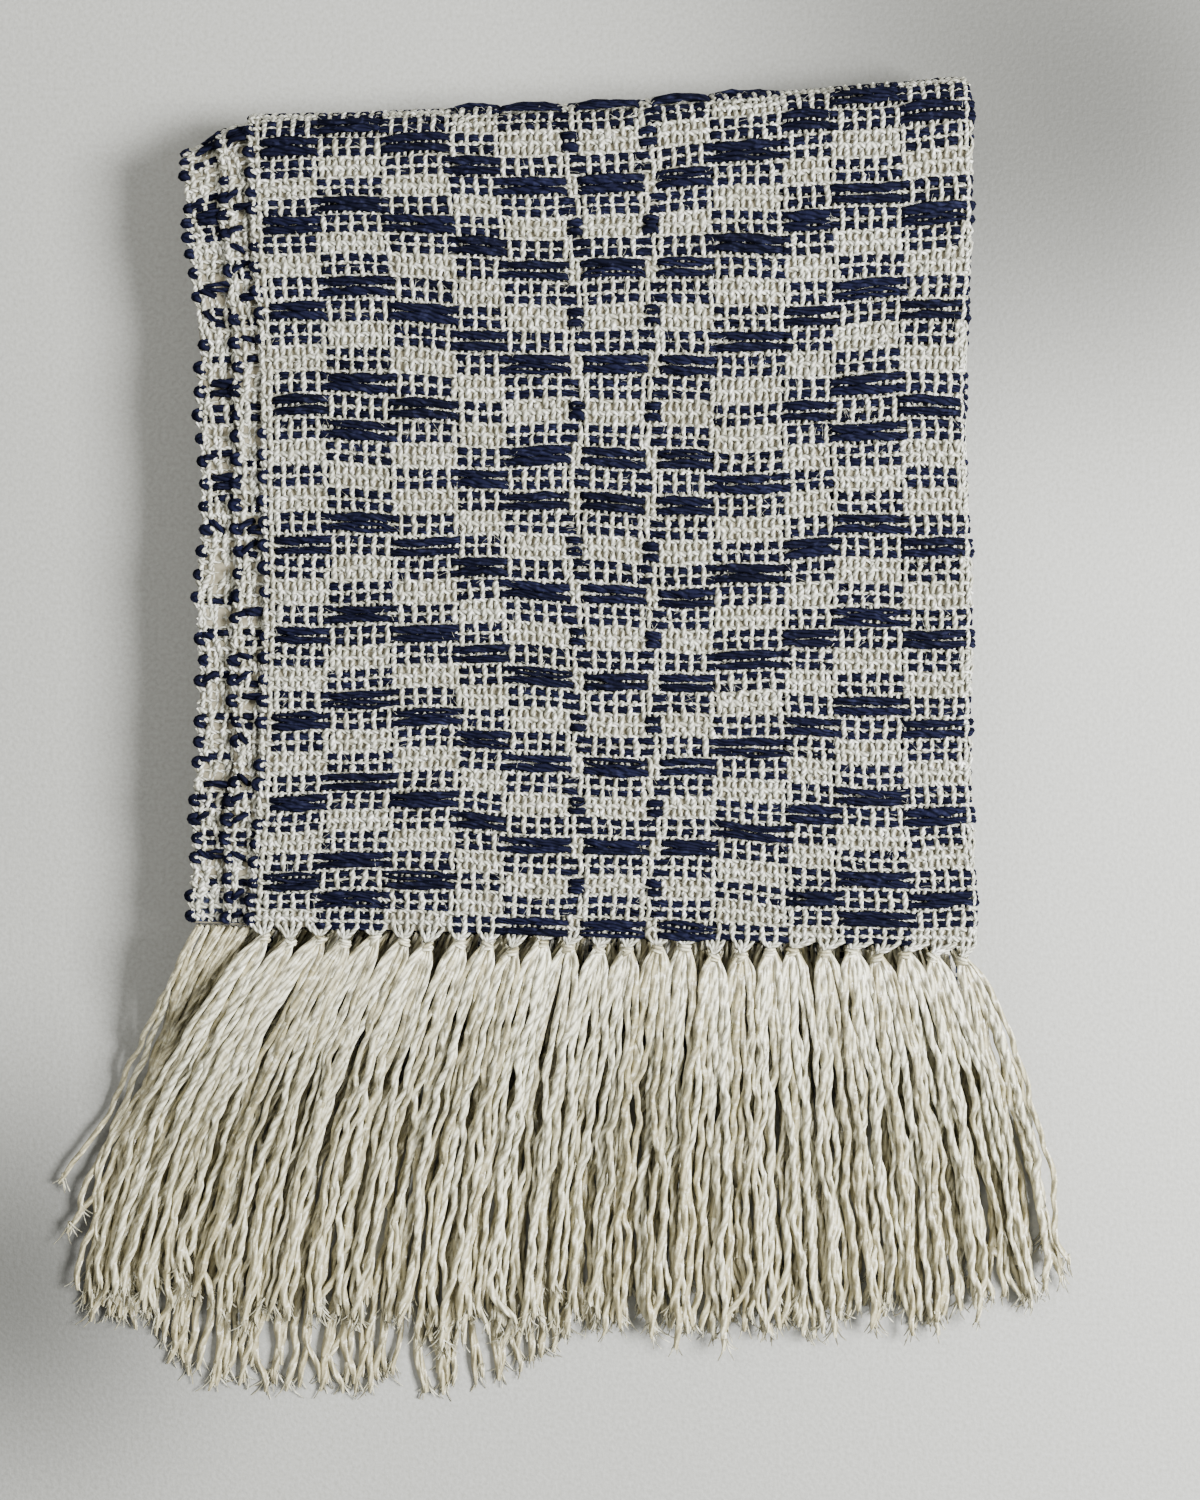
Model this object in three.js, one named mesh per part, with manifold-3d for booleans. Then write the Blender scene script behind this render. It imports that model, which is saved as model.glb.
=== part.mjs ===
// A handwoven ruana, folded small and laid flat: two loom widths in a navy and cream
// four-block overshot, with the knotted fringes of both hems spread to the front.
// Millimetres, +Z up, +X to the right of the pile, +Y to its rear fold.
// The origin is on the flat underside, under the middle of the top face.
import * as THREE from "three";
import Module from "manifold-3d";

const wasm = await Module();
wasm.setup();

// Cloth
const WARP_PITCH = 2.5; // ten warp ends to 25 mm
const ROW = 7.88; // one block row, two pattern picks and two ground picks, in most of the cloth
const WALL = 2.2; // the cloth without its raised floats
const GAP = 0.3; // between neighbouring pieces
const FLOAT_RISE = 1.2; // a block of full floats over the ground weave
const DASH_RISE = 0.5; // a block of short floats
const COLUMN_INSET = 1.3; // a raised block starts this far inside its column
const VALLEY = 0.35; // share of the rise that is left between two block rows

// Pile
const LAYERS = 16;
const LAYER = WALL + GAP;
const PILE = LAYERS * LAYER;
const BEND = PILE / 2; // outer radius of the rear fold
const FACE_LEFT = -120; // selvedge of the top face
const REAR = 162;
const HEM = -150.5;
const BEND_Y = REAR - BEND; // the rear fold's centre line
const FLAT = BEND_Y - HEM; // flat length of the top face
const BEND_END = FLAT + Math.PI * BEND; // and its length down to the underside
const NOSE = 10; // radius of the shoulder fold, under the hems
const NOSE_Y = -161; // and its centre line
const SLIT = 0.2; // between the upper and lower half of the pile

// Side fold of the top width, and the parts of the edge strips that run in under it
const FOLD_RADIUS = WALL + GAP / 2;
const FOLD_RETURN = 9;
const STRIP_HIDDEN = 17;

// Fringe
const TASSELS = 26;
const LOCKS_PER_TASSEL = 3;
const LOWER_LOCKS = 34;
const LOCK_RADIUS = 1.15;
const TIP_RADIUS = 1.3;
const FAN = 1.6; // a lock swings out most near its root
const LOCK_STOPS = [0, 0.1, 0.28, 0.55, 1]; // shares of a lock's length, closer at its bend
const UPPER_DRAPE = 96; // forward run in which a lock comes down from its hem
const LOWER_DRAPE = 78;
const STRIP_RADIUS = 1.5;
const KNOT_RADIUS = 2.1;
const LOWER_HEM_Z = 22.8;

// Threading from the left selvedge to the right fold, in warp ends; "-" is plain border.
const THREADING = [
  { block: "-", ends: 2 },
  { block: "B", ends: 8 },
  { block: "A", ends: 9 },
  { block: "B", ends: 10 },
  { block: "C", ends: 7 },
  { block: "D", ends: 9 },
  { block: "B", ends: 2 },
  { block: "D", ends: 9 },
  { block: "B", ends: 2 },
  { block: "D", ends: 8 },
  { block: "C", ends: 10 },
  { block: "B", ends: 7 },
  { block: "A", ends: 10 },
  { block: "B", ends: 9 },
  { block: "-", ends: 1 },
];

// Treadling in block rows from the hem, over the top face and down round the rear fold.
const TREADLING = "DABADCBADCBADCBADCBADCDABADCBADCBADCBADCBADC";

// How closely the rows were beaten: between these, the cloth's length grows evenly.
const BEAT = [
  { row: 0, along: 0 },
  { row: 8, along: 57.8 },
  { row: 16, along: 119 },
  { row: 24, along: 184.3 },
  { row: 32, along: 253 },
  { row: 38, along: 310 },
];

// Edges of the layers of one half of the pile: single selvedges at the left.
const LEFT_EDGES = [
  { layer: 1, x: FACE_LEFT },
  { layer: 2, x: -130 },
  { layer: 3, x: -143 },
  { layer: 4, x: -139 },
  { layer: 5, x: -142 },
  { layer: 6, x: -136 },
  { layer: 7, x: -141 },
  { layer: 8, x: -138 },
];
// At the right each fold holds two layers.
const RIGHT_FOLDS = [
  { pair: 1, x: 137.5 },
  { pair: 2, x: 135 },
  { pair: 3, x: 138.5 },
  { pair: 4, x: 134.5 },
];

// How far the pile's left and right sides stray from straight, by distance from the middle.
const STRAY = [
  { y: -170, left: -3, right: 1.5 },
  { y: -70, left: 1.5, right: -1 },
  { y: 30, left: 2.5, right: -2.5 },
  { y: 160, left: -4, right: 0 },
];
const REAR_SLANT = 13.4; // the left end of the rear fold lies this much nearer the hem
const REAR_BOW = 1.7; // and most of that is lost near the right end
const CORNER = 9; // the rear corner at the left is rounded off by this much, between these
const CORNER_FROM = -116;
const CORNER_TO = -152;
const SLANT_FROM = 85;
const SLANT_TO = 150;
const HEM_SKEW = 7.5; // the right end of the hem lies this much further forward
const SKEW_MIDDLE = 0.4;
const SKEW_FROM = -40;
const SKEW_TO = -150;

// Soft hollows and swells of the top face.
const SWELLS = [
  { x: -90, y: 116, reachX: 60, reachY: 28, height: 1.5 },
  { x: 18, y: 62, reachX: 70, reachY: 30, height: -1.5 },
  { x: 96, y: 20, reachX: 60, reachY: 60, height: 0.9 },
  { x: -70, y: -30, reachX: 60, reachY: 36, height: -1.2 },
  { x: 8, y: -66, reachX: 60, reachY: 28, height: 1.0 },
  { x: -104, y: -96, reachX: 60, reachY: 36, height: 0.8 },
  { x: 84, y: -104, reachX: 60, reachY: 30, height: -1.0 },
];
const HEM_DROOP = 3.4; // the free hems sink on the pile
const DROOP_RUN = 90;
const SIDE_DROOP = 2; // and so does the top selvedge
const SIDE_RUN = 60;
// Where plain surfaces that lie on each other have their lines.
const SUPPORTS = [-120, -102, -76, -40, 8, 50, 88];

const clamp01 = (t) => Math.min(Math.max(t, 0), 1);
const ease = (t) => clamp01(t) ** 2 * (3 - 2 * clamp01(t));
const mix = (a, b, t) => a + (b - a) * t;

const WIDTH = WARP_PITCH * THREADING.reduce((sum, column) => sum + column.ends, 0);
const FACE_RIGHT = FACE_LEFT + WIDTH;

// A fixed, uneven number from 0 to 1 for each index and use.
function uneven(index, use) {
  const wild = Math.sin(index * 12.9898 + use * 78.233) * 43758.5453;
  return wild - Math.floor(wild);
}

// The distance from the hem at which a block row starts.
function alongRow(row) {
  const last = BEAT.at(-1);
  if (row >= last.row) return last.along + (row - last.row) * ROW;
  const next = Math.max(1, BEAT.findIndex((beat) => beat.row >= row));
  const before = BEAT[next - 1];
  const after = BEAT[next];
  return mix(before.along, after.along, (row - before.row) / (after.row - before.row));
}

function strayAt(y, side) {
  const next = Math.max(1, STRAY.findIndex((row) => row.y >= y));
  const before = STRAY[next - 1];
  const after = STRAY[next];
  return mix(before[side], after[side], ease((y - before.y) / (after.y - before.y)));
}

function swellAt(x, y) {
  const swells = SWELLS.reduce((sum, s) => {
    const away = ((x - s.x) / s.reachX) ** 2 + ((y - s.y) / s.reachY) ** 2;
    return sum + s.height * Math.exp(-away);
  }, 0);
  const hem = HEM_DROOP * ease((HEM + DROOP_RUN - y) / DROOP_RUN);
  const side = SIDE_DROOP * ease((FACE_LEFT + SIDE_RUN - x) / SIDE_RUN);
  return swells - hem - side;
}

// A point of the pile from its distance across, its distance along the outer surface from
// the hem, and its depth under that surface.
function onPile(x, along, depth) {
  const turn = clamp01((along - FLAT) / BEND / Math.PI) * Math.PI;
  const back = Math.max(along - BEND_END, 0);
  const plainY = Math.min(HEM + along, BEND_Y) + (BEND - depth) * Math.sin(turn) - back;
  const z = BEND + (BEND - depth) * Math.cos(turn);
  const share = (x - FACE_LEFT) / WIDTH;
  const across = clamp01(share);
  const corner = CORNER * ease((CORNER_FROM - x) / (CORNER_FROM - CORNER_TO));
  const slant =
    (REAR_SLANT * (1 - across ** REAR_BOW) + corner) *
    ease((plainY - SLANT_FROM) / (SLANT_TO - SLANT_FROM));
  const skew =
    HEM_SKEW * (share - SKEW_MIDDLE) * ease((SKEW_FROM - plainY) / (SKEW_FROM - SKEW_TO));
  const y = plainY - slant - skew;
  const strayed = x + mix(strayAt(y, "left"), strayAt(y, "right"), across);
  const upper = (1 + Math.cos(turn)) / 2;
  return new THREE.Vector3(strayed, y, z + swellAt(x, plainY) * upper);
}

// A closed solid through rings of equal length. flat gives the plane of its two end caps.
function loft(rings, flat = (p) => new THREE.Vector2(p.x, p.z)) {
  const count = rings[0].length;
  const index = [];
  for (let i = 0; i + 1 < rings.length; i++)
    for (let j = 0; j < count; j++) {
      const a = i * count + j;
      const b = i * count + ((j + 1) % count);
      index.push(a, b + count, b, a, a + count, b + count);
    }
  addCap(index, rings[0].map(flat), 0, 1);
  addCap(index, rings.at(-1).map(flat), (rings.length - 1) * count, -1);
  const geometry = new THREE.BufferGeometry().setFromPoints(rings.flat());
  geometry.setIndex(index);
  return volumeOf(geometry) < 0 ? turnedInsideOut(geometry) : geometry;
}

// The triangles of one end cap, wound with the ring (way 1) or against it (way -1).
function addCap(index, outline, first, way) {
  const ringArea = Math.sign(THREE.ShapeUtils.area(outline));
  for (const [a, b, c] of THREE.ShapeUtils.triangulateShape(outline, [])) {
    const area = Math.sign(THREE.ShapeUtils.area([outline[a], outline[b], outline[c]]));
    if (area === ringArea * way) index.push(first + a, first + b, first + c);
    else index.push(first + a, first + c, first + b);
  }
}

function volumeOf(geometry) {
  const at = geometry.attributes.position;
  const corners = [0, 1, 2].map(() => new THREE.Vector3());
  let six = 0;
  for (let i = 0; i < geometry.index.count; i += 3) {
    corners.forEach((corner, k) => corner.fromBufferAttribute(at, geometry.index.getX(i + k)));
    six += corners[0].dot(corners[1].cross(corners[2]));
  }
  return six / 6;
}

function turnedInsideOut(geometry) {
  geometry.setIndex(Array.from(geometry.index.array).reverse());
  return geometry;
}

// Several closed geometries joined into one.
function joined(geometries) {
  const solids = geometries.map(
    (geometry) =>
      new wasm.Manifold(
        new wasm.Mesh({
          numProp: 3,
          vertProperties: geometry.attributes.position.array,
          triVerts: new Uint32Array(geometry.index.array),
        }),
      ),
  );
  const mesh = solids.reduce((sum, solid) => sum.add(solid)).getMesh();
  const geometry = new THREE.BufferGeometry();
  geometry.setAttribute("position", new THREE.BufferAttribute(mesh.vertProperties, 3));
  geometry.setIndex(new THREE.BufferAttribute(mesh.triVerts, 1));
  return geometry;
}

// The weave's relief

// How high a block of the threading stands in a row of the treadling.
function riseOf(block, row) {
  if (block === "-") return 0;
  const blocks = "ABCD";
  const apart = Math.abs(blocks.indexOf(block) - blocks.indexOf(row));
  return [FLOAT_RISE, DASH_RISE, 0, DASH_RISE][apart];
}

// Two lines to a block row, its front edge and its crest, from the hem to the end of the
// rear fold. share is how much of each row's rise stands at the line.
function reliefLines() {
  const lines = [];
  const rows = [...TREADLING];
  rows.forEach((row, k) => {
    lines.push({ along: alongRow(k), rows: [rows[Math.max(k - 1, 0)], row], share: VALLEY });
    lines.push({ along: alongRow(k + 0.5), rows: [row], share: 1 });
  });
  const inside = lines.filter((line) => line.along < BEND_END - 1);
  return [...inside, { along: BEND_END, rows: [rows.at(-1)], share: VALLEY }];
}

// The crests alone, for a narrow strip, and every line round the rear fold.
function crestLines() {
  return reliefLines().filter(
    (line) => line.share === 1 || line.along === 0 || line.along > FLAT - ROW,
  );
}

function riseAt(block, line) {
  return line.share * Math.min(...line.rows.map((row) => riseOf(block, row)));
}

// Sweeps a section of the cloth along the pile. Each of its points has x, depth, and, where
// it shows, the block that it lies in and the way out of the cloth there. The relief fades
// out where the rear fold comes down to the surface that the pile lies on.
function sweptCloth(section, lines) {
  return loft(
    lines.map((line) =>
      section.map((p) => {
        const fade = clamp01((BEND_END - line.along) / BEND) ** 2;
        const rise = p.block ? fade * riseAt(p.block, line) : 0;
        const out = p.out ?? { x: 0, depth: -1 };
        return onPile(p.x + rise * out.x, line.along, p.depth + rise * out.depth);
      }),
    ),
  );
}

// Points at one depth on the supports between two edges.
function supported(from, to, depth) {
  return SUPPORTS.filter((x) => x > from + 1 && x < to - 1).map((x) => ({ x, depth }));
}

// The top width: its upper half with the draft's relief, folded under at the right.
function topFaceSection() {
  const section = [
    { x: FACE_LEFT + 0.6, depth: WALL },
    { x: FACE_LEFT - 0.5, depth: WALL / 2 },
    { x: FACE_LEFT + 0.4, depth: 0 },
  ];
  let x = FACE_LEFT;
  for (const { block, ends } of THREADING) {
    const right = x + ends * WARP_PITCH;
    if (block !== "-")
      for (const at of [x + COLUMN_INSET, right - COLUMN_INSET])
        section.push({ x: at, depth: 0, block });
    x = right;
  }
  const foldX = FACE_RIGHT - FOLD_RADIUS;
  const last = section.findLastIndex((p) => p.x < foldX - 1);
  section.length = last + 1;
  for (const angle of [0, 45, 90, 135, 180]) {
    const a = THREE.MathUtils.degToRad(angle);
    section.push({
      x: foldX + FOLD_RADIUS * Math.sin(a),
      depth: FOLD_RADIUS * (1 - Math.cos(a)),
      block: "B",
      out: { x: Math.sin(a), depth: -Math.cos(a) },
    });
  }
  section.at(-1).block = undefined;
  const under = 2 * FOLD_RADIUS;
  section.push(
    { x: foldX - FOLD_RETURN, depth: under },
    { x: foldX - FOLD_RETURN, depth: under - WALL },
    { x: foldX, depth: under - WALL },
    { x: foldX, depth: WALL },
    ...supported(FACE_LEFT, foldX, WALL).reverse(),
  );
  return section;
}

// A selvedge that shows beside the layer above: a strip of the cloth from its edge to where
// the hidden layers take over.
function edgeStripSection(layer, block) {
  const edge = LEFT_EDGES[layer - 1].x;
  const shown = LEFT_EDGES[layer - 2].x;
  const top = (layer - 1) * LAYER;
  return [
    { x: edge + 0.6, depth: top + WALL },
    { x: edge - 0.5, depth: top + WALL / 2 },
    { x: edge + 0.4, depth: top },
    { x: edge + 3, depth: top, block },
    { x: shown - 1.2, depth: top, block },
    { x: shown + 1, depth: top },
    ...supported(shown + 1, edge + STRIP_HIDDEN, top),
    { x: edge + STRIP_HIDDEN, depth: top },
    { x: edge + STRIP_HIDDEN, depth: top + WALL },
    ...supported(edge, edge + STRIP_HIDDEN, top + WALL).reverse(),
  ];
}

// The hidden layers

// Left side of the layers from first to last, each a round edge with a groove between, from
// the deepest up.
function leftEdges(first, last) {
  const points = [];
  for (let layer = last; layer >= first; layer--) {
    const { x } = LEFT_EDGES[layer - 1];
    const next = LEFT_EDGES[layer - 2]?.x ?? x;
    points.push({ x, depth: (layer - 0.5) * LAYER });
    if (layer > first) points.push({ x: Math.max(x, next) + 1.4, depth: (layer - 1) * LAYER });
  }
  return points;
}

// Right side of the pairs of layers from first to last, each one round fold, from the top down.
function rightFolds(first, last) {
  const points = [];
  for (let pair = first; pair <= last; pair++) {
    const { x } = RIGHT_FOLDS[pair - 1];
    points.push(
      { x, depth: (2 * pair - 1.4) * LAYER },
      { x, depth: (2 * pair - 0.6) * LAYER },
    );
    if (pair < last) {
      const next = RIGHT_FOLDS[pair].x;
      points.push({ x: Math.min(x, next) - 1.8, depth: 2 * pair * LAYER });
    }
  }
  return points;
}

// The upper half's section steps up where the three walls over it end.
function upperHiddenSection() {
  const underStrip2 = LEFT_EDGES[1].x + STRIP_HIDDEN + GAP;
  const underStrip3 = LEFT_EDGES[2].x + STRIP_HIDDEN + GAP;
  const foldEnd = FACE_RIGHT - FOLD_RADIUS - FOLD_RETURN - GAP;
  const right = RIGHT_FOLDS[1].x;
  return [
    { x: LEFT_EDGES[7].x + 1.5, depth: BEND - SLIT / 2 },
    ...leftEdges(4, 8),
    { x: LEFT_EDGES[3].x + 1.5, depth: 3 * LAYER },
    ...supported(LEFT_EDGES[3].x + 1.5, underStrip3, 3 * LAYER),
    { x: underStrip3, depth: 3 * LAYER },
    { x: underStrip3, depth: 2 * LAYER },
    ...supported(underStrip3, underStrip2, 2 * LAYER),
    { x: underStrip2, depth: 2 * LAYER },
    { x: underStrip2, depth: LAYER },
    ...supported(underStrip2, foldEnd, LAYER),
    { x: foldEnd, depth: LAYER },
    { x: foldEnd, depth: 2 * LAYER },
    { x: right - 3, depth: 2 * LAYER },
    ...rightFolds(2, 4),
    { x: RIGHT_FOLDS[3].x - 3, depth: BEND - SLIT / 2 },
  ];
}

function lowerHiddenSection() {
  return [
    { x: LEFT_EDGES[7].x + 1.5, depth: BEND - SLIT / 2 },
    ...leftEdges(1, 8),
    { x: FACE_LEFT + 1.5, depth: 0 },
    ...supported(FACE_LEFT + 1.5, RIGHT_FOLDS[0].x - 3, 0),
    { x: RIGHT_FOLDS[0].x - 3, depth: 0 },
    ...rightFolds(1, 4),
    { x: RIGHT_FOLDS[3].x - 3, depth: BEND - SLIT / 2 },
  ];
}

function spread(from, to, steps) {
  return Array.from({ length: steps + 1 }, (_, i) => mix(from, to, i / steps));
}

// Everything under the walls that show: the upper half and the rear fold, joined to the
// lower half, which ends in the shoulder fold.
function hiddenLayers() {
  const tail = 12; // how far the upper half runs on inside the lower one
  const tailShare = 0.95; // and its size there
  const section = upperHiddenSection();
  const lines = [...TREADLING]
    .map((_, row) => alongRow(row))
    .filter((along, row) => along < BEND_END - 1 && (along > FLAT - ROW || row % 2 === 0));
  const upper = [...lines, BEND_END].map((along) =>
    section.map((p) => onPile(p.x, along, p.depth)),
  );
  const middle = (3 * LAYER + BEND) / 2;
  upper.push(
    section.map((p) =>
      onPile(p.x * tailShare, BEND_END + tail, mix(middle, p.depth, tailShare)),
    ),
  );

  const lowerStart = 3.2; // clear of the rear fold's bowed end
  const lowerLength = BEND_Y - NOSE_Y;
  const lowerSection = lowerHiddenSection();
  const lower = spread(lowerStart, lowerLength, 9).map((back) =>
    lowerSection.map((p) => onPile(p.x, BEND_END + back, p.depth)),
  );
  for (const angle of [22, 44, 64, 80]) {
    const a = THREE.MathUtils.degToRad(angle);
    lower.push(
      lowerSection.map((p) => {
        const depth = NOSE + (p.depth - NOSE) * Math.cos(a);
        return onPile(p.x, BEND_END + lowerLength + NOSE * Math.sin(a), depth);
      }),
    );
  }
  return joined([loft(upper), loft(lower)]);
}

// The fringe

const alongX = (p) => new THREE.Vector2(p.y, p.z);

// A strip of knotted warp ends beside a hem. centreAt gives its middle at each x.
function hemStrip(stops, centreAt) {
  const sides = 5;
  return loft(
    stops.map(({ x, radius }) => {
      const centre = centreAt(x);
      return Array.from({ length: sides }, (_, k) => {
        const a = (k / sides) * 2 * Math.PI;
        const y = centre.y + Math.min(radius, STRIP_RADIUS) * Math.cos(a);
        return new THREE.Vector3(centre.x, y, centre.z + radius * Math.sin(a));
      });
    }),
    alongX,
  );
}

// One lock of the fringe from its root: it comes down in a soft drape and lies forward.
function lock(root, tip, drape, index) {
  const sides = 3;
  const turn = Math.PI / 6 + 0.2 * uneven(index, 5);
  return loft(
    LOCK_STOPS.map((t) => {
      const y = mix(root.y, tip.y, t);
      const down = 0.5 - 0.5 * Math.cos(Math.PI * clamp01((root.y - y) / drape));
      const sway = 0.5 * t * Math.sin(t * 5 + index * 2.4);
      const x = mix(root.x, tip.x, 1 - (1 - t) ** FAN) + sway;
      const z = mix(root.z, tip.z, down);
      const radius = t === 1 ? TIP_RADIUS * 0.55 : mix(LOCK_RADIUS, TIP_RADIUS, t);
      return Array.from({ length: sides }, (_, k) => {
        const a = turn + (k / sides) * 2 * Math.PI;
        return new THREE.Vector3(x + radius * Math.cos(a), y, z + radius * Math.sin(a));
      });
    }),
  );
}

// Where the tips lie, from the left end of the fringe to its right end.
const UPPER_TIPS = [
  { across: 0, x: -184, y: -290 },
  { across: 0.2, x: -112, y: -300 },
  { across: 0.5, x: -6, y: -308 },
  { across: 0.8, x: 102, y: -305 },
  { across: 1, x: 176, y: -286 },
];
const LOWER_TIPS = [
  { across: 0, x: -190, y: -284 },
  { across: 0.15, x: -142, y: -326 },
  { across: 0.4, x: -50, y: -327 },
  { across: 0.6, x: 26, y: -292 },
  { across: 1, x: 172, y: -276 },
];

function tipAt(table, across, index) {
  const next = Math.max(1, table.findIndex((row) => row.across >= across));
  const before = table[next - 1];
  const after = table[next];
  const t = (across - before.across) / (after.across - before.across);
  const short = 9 * uneven(index, 1);
  return { x: mix(before.x, after.x, t), y: mix(before.y, after.y, t) + short };
}

function upperFringe() {
  const centreAt = (x) => onPile(x, -GAP - STRIP_RADIUS, WALL / 2);
  const pitch = WIDTH / TASSELS;
  const stops = [{ x: FACE_LEFT + 1, radius: STRIP_RADIUS }];
  const pieces = [];
  const locks = TASSELS * LOCKS_PER_TASSEL;
  for (let tassel = 0; tassel < TASSELS; tassel++) {
    const middle = FACE_LEFT + (tassel + 0.5) * pitch;
    stops.push({ x: middle - pitch * 0.12, radius: KNOT_RADIUS });
    stops.push({ x: middle + pitch * 0.46, radius: STRIP_RADIUS * 0.8 });
    for (let k = 0; k < LOCKS_PER_TASSEL; k++) {
      const index = tassel * LOCKS_PER_TASSEL + k;
      const x = middle + (k - (LOCKS_PER_TASSEL - 1) / 2) * 2.9;
      const tip = tipAt(UPPER_TIPS, index / (locks - 1), index);
      tip.z = 5.1 + 0.25 * uneven(index, 2);
      pieces.push(lock(centreAt(x), tip, UPPER_DRAPE, index));
    }
  }
  return joined([hemStrip(stops, centreAt), ...pieces]);
}

function lowerFringe() {
  const left = LEFT_EDGES[1].x;
  const right = FACE_RIGHT;
  const centreAt = (x) => onPile(x, -GAP - STRIP_RADIUS, 0).setZ(LOWER_HEM_Z);
  const stops = spread(left, right, 6).map((x) => ({ x, radius: STRIP_RADIUS }));
  const pieces = Array.from({ length: LOWER_LOCKS }, (_, index) => {
    const across = index / (LOWER_LOCKS - 1);
    const root = centreAt(mix(left + 2, right - 2, across));
    const tip = { ...tipAt(LOWER_TIPS, across, index + 100), z: 1.7 };
    return lock(root, tip, LOWER_DRAPE, index);
  });
  return joined([hemStrip(stops, centreAt), ...pieces]);
}

// Materials and assembly

function wool(colour, roughness) {
  return new THREE.MeshStandardMaterial({ color: colour, roughness, metalness: 0 });
}

const ruana = new THREE.Group();
function addPiece(name, geometry, material) {
  const mesh = new THREE.Mesh(geometry, material);
  mesh.name = name;
  ruana.add(mesh);
}

const patterned = wool("#8d919a", 0.95); // cream ground and navy floats, taken together
const cream = wool("#d2d3cd", 0.95);

addPiece("top_width_face", sweptCloth(topFaceSection(), reliefLines()), patterned);
addPiece("top_width_selvedge", sweptCloth(edgeStripSection(2, "B"), crestLines()), patterned);
addPiece("second_width_selvedge", sweptCloth(edgeStripSection(3, "A"), crestLines()), patterned);
addPiece("hidden_layers", hiddenLayers(), patterned);
addPiece("upper_fringe", upperFringe(), cream);
addPiece("lower_fringe", lowerFringe(), cream);

export default ruana;
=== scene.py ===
import math
import bpy
import numpy as np
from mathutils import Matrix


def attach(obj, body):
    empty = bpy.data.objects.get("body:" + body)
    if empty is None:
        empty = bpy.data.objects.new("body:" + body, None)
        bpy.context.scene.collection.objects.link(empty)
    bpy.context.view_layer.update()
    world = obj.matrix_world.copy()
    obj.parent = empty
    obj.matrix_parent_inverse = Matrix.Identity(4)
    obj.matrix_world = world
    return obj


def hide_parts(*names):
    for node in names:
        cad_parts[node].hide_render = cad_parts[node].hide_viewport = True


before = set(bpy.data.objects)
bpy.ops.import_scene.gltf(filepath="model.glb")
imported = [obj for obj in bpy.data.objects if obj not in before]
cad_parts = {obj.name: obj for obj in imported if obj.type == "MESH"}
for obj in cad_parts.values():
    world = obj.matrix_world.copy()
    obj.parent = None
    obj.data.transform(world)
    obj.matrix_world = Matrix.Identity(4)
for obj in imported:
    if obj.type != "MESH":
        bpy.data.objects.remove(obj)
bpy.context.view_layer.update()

rng = np.random.default_rng(7)

# The pile, as in the solids. A user who changes it changes the solids to match.
pileSizes = {
    "layers": 16, "wall": 2.2, "gap": 0.3,
    "left": -120.0, "width": 257.5, "hem": -150.5, "rear": 162.0,  # of the top face
    "shoulder": -161.0, "nose": 10.0,  # y and radius of the shoulder fold, in front and beneath
    "leftEdges": [-120, -130, -143, -139, -142, -136, -141, -138],  # from the top layer down
    "rightFolds": [137.5, 135, 138.5, 134.5],
    "stray": [  # y, and how far the left and the right edge stray there
        (-170, -3, 1.5), (-70, 1.5, -1), (30, 2.5, -2.5), (160, -4, 0)],
    "swells": [  # x, y, reach in x, reach in y, height
        (-90, 116, 60, 28, 1.5), (18, 62, 70, 30, -1.5), (96, 20, 60, 60, 0.9),
        (-70, -30, 60, 36, -1.2), (8, -66, 60, 28, 1.0), (-104, -96, 60, 36, 0.8),
        (84, -104, 60, 30, -1.0)]}
wall, gap, nose = pileSizes["wall"], pileSizes["gap"], pileSizes["nose"]
layer = wall + gap
bend = pileSizes["layers"] * layer / 2  # radius of the rear fold
faceLeft, faceWidth, hem = pileSizes["left"], pileSizes["width"], pileSizes["hem"]
leftEdges, rightFolds = pileSizes["leftEdges"], pileSizes["rightFolds"]
bendY = pileSizes["rear"] - bend
flat = bendY - hem
bendEnd = flat + math.pi * bend  # along the cloth, where the rear fold comes down
foldRadius = wall + gap / 2
foldX = faceLeft + faceWidth - foldRadius

# The draft: four blocks on four shafts, two pattern picks and two ground picks to a row
draft = {
    "warpPitch": 2.5, "row": 7.88,  # mm from end to end, and to a block row in most of the cloth
    "threading": [("-", 2), ("B", 8), ("A", 9), ("B", 10), ("C", 7), ("D", 9), ("B", 2), ("D", 9),
                  ("B", 2), ("D", 8), ("C", 10), ("B", 7), ("A", 10), ("B", 9), ("-", 1)],
    "treadling": "DABADCBADCBADCBADCBADCDABADCBADCBADCBADCBADC",
    "shafts": {"A": (1, 2), "B": (3, 2), "C": (3, 4), "D": (1, 4)},
    "beatRows": [0, 8, 16, 24, 32, 38],  # between these rows the cloth's length grows evenly
    "beatAlongs": [0, 57.8, 119, 184.3, 253, 310],
    "patternAt": (0.165, 0.665), "groundAt": (0.415, 0.915)}  # shares of a row
warpPitch, row = draft["warpPitch"], draft["row"]
threading, treadling, shafts = draft["threading"], draft["treadling"], draft["shafts"]
patternAt, groundAt = draft["patternAt"], draft["groundAt"]


def alongRow(k):
    beyond = np.maximum(np.asarray(k, float) - draft["beatRows"][-1], 0)
    return np.interp(k, draft["beatRows"], draft["beatAlongs"]) + beyond * row


def ease(t):
    t = np.clip(t, 0, 1)
    return t * t * (3 - 2 * t)


def together(*values):
    return np.broadcast_arrays(*[np.asarray(value, float) for value in values])


def strayAt(y, side):
    y, stray = np.asarray(y, float), pileSizes["stray"]
    found = np.full(y.shape, float(stray[0][side]))
    for before, after in zip(stray, stray[1:]):
        t = ease((y - before[0]) / (after[0] - before[0]))
        found = np.where(y > before[0], before[side] + (after[side] - before[side]) * t, found)
    return found


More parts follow.
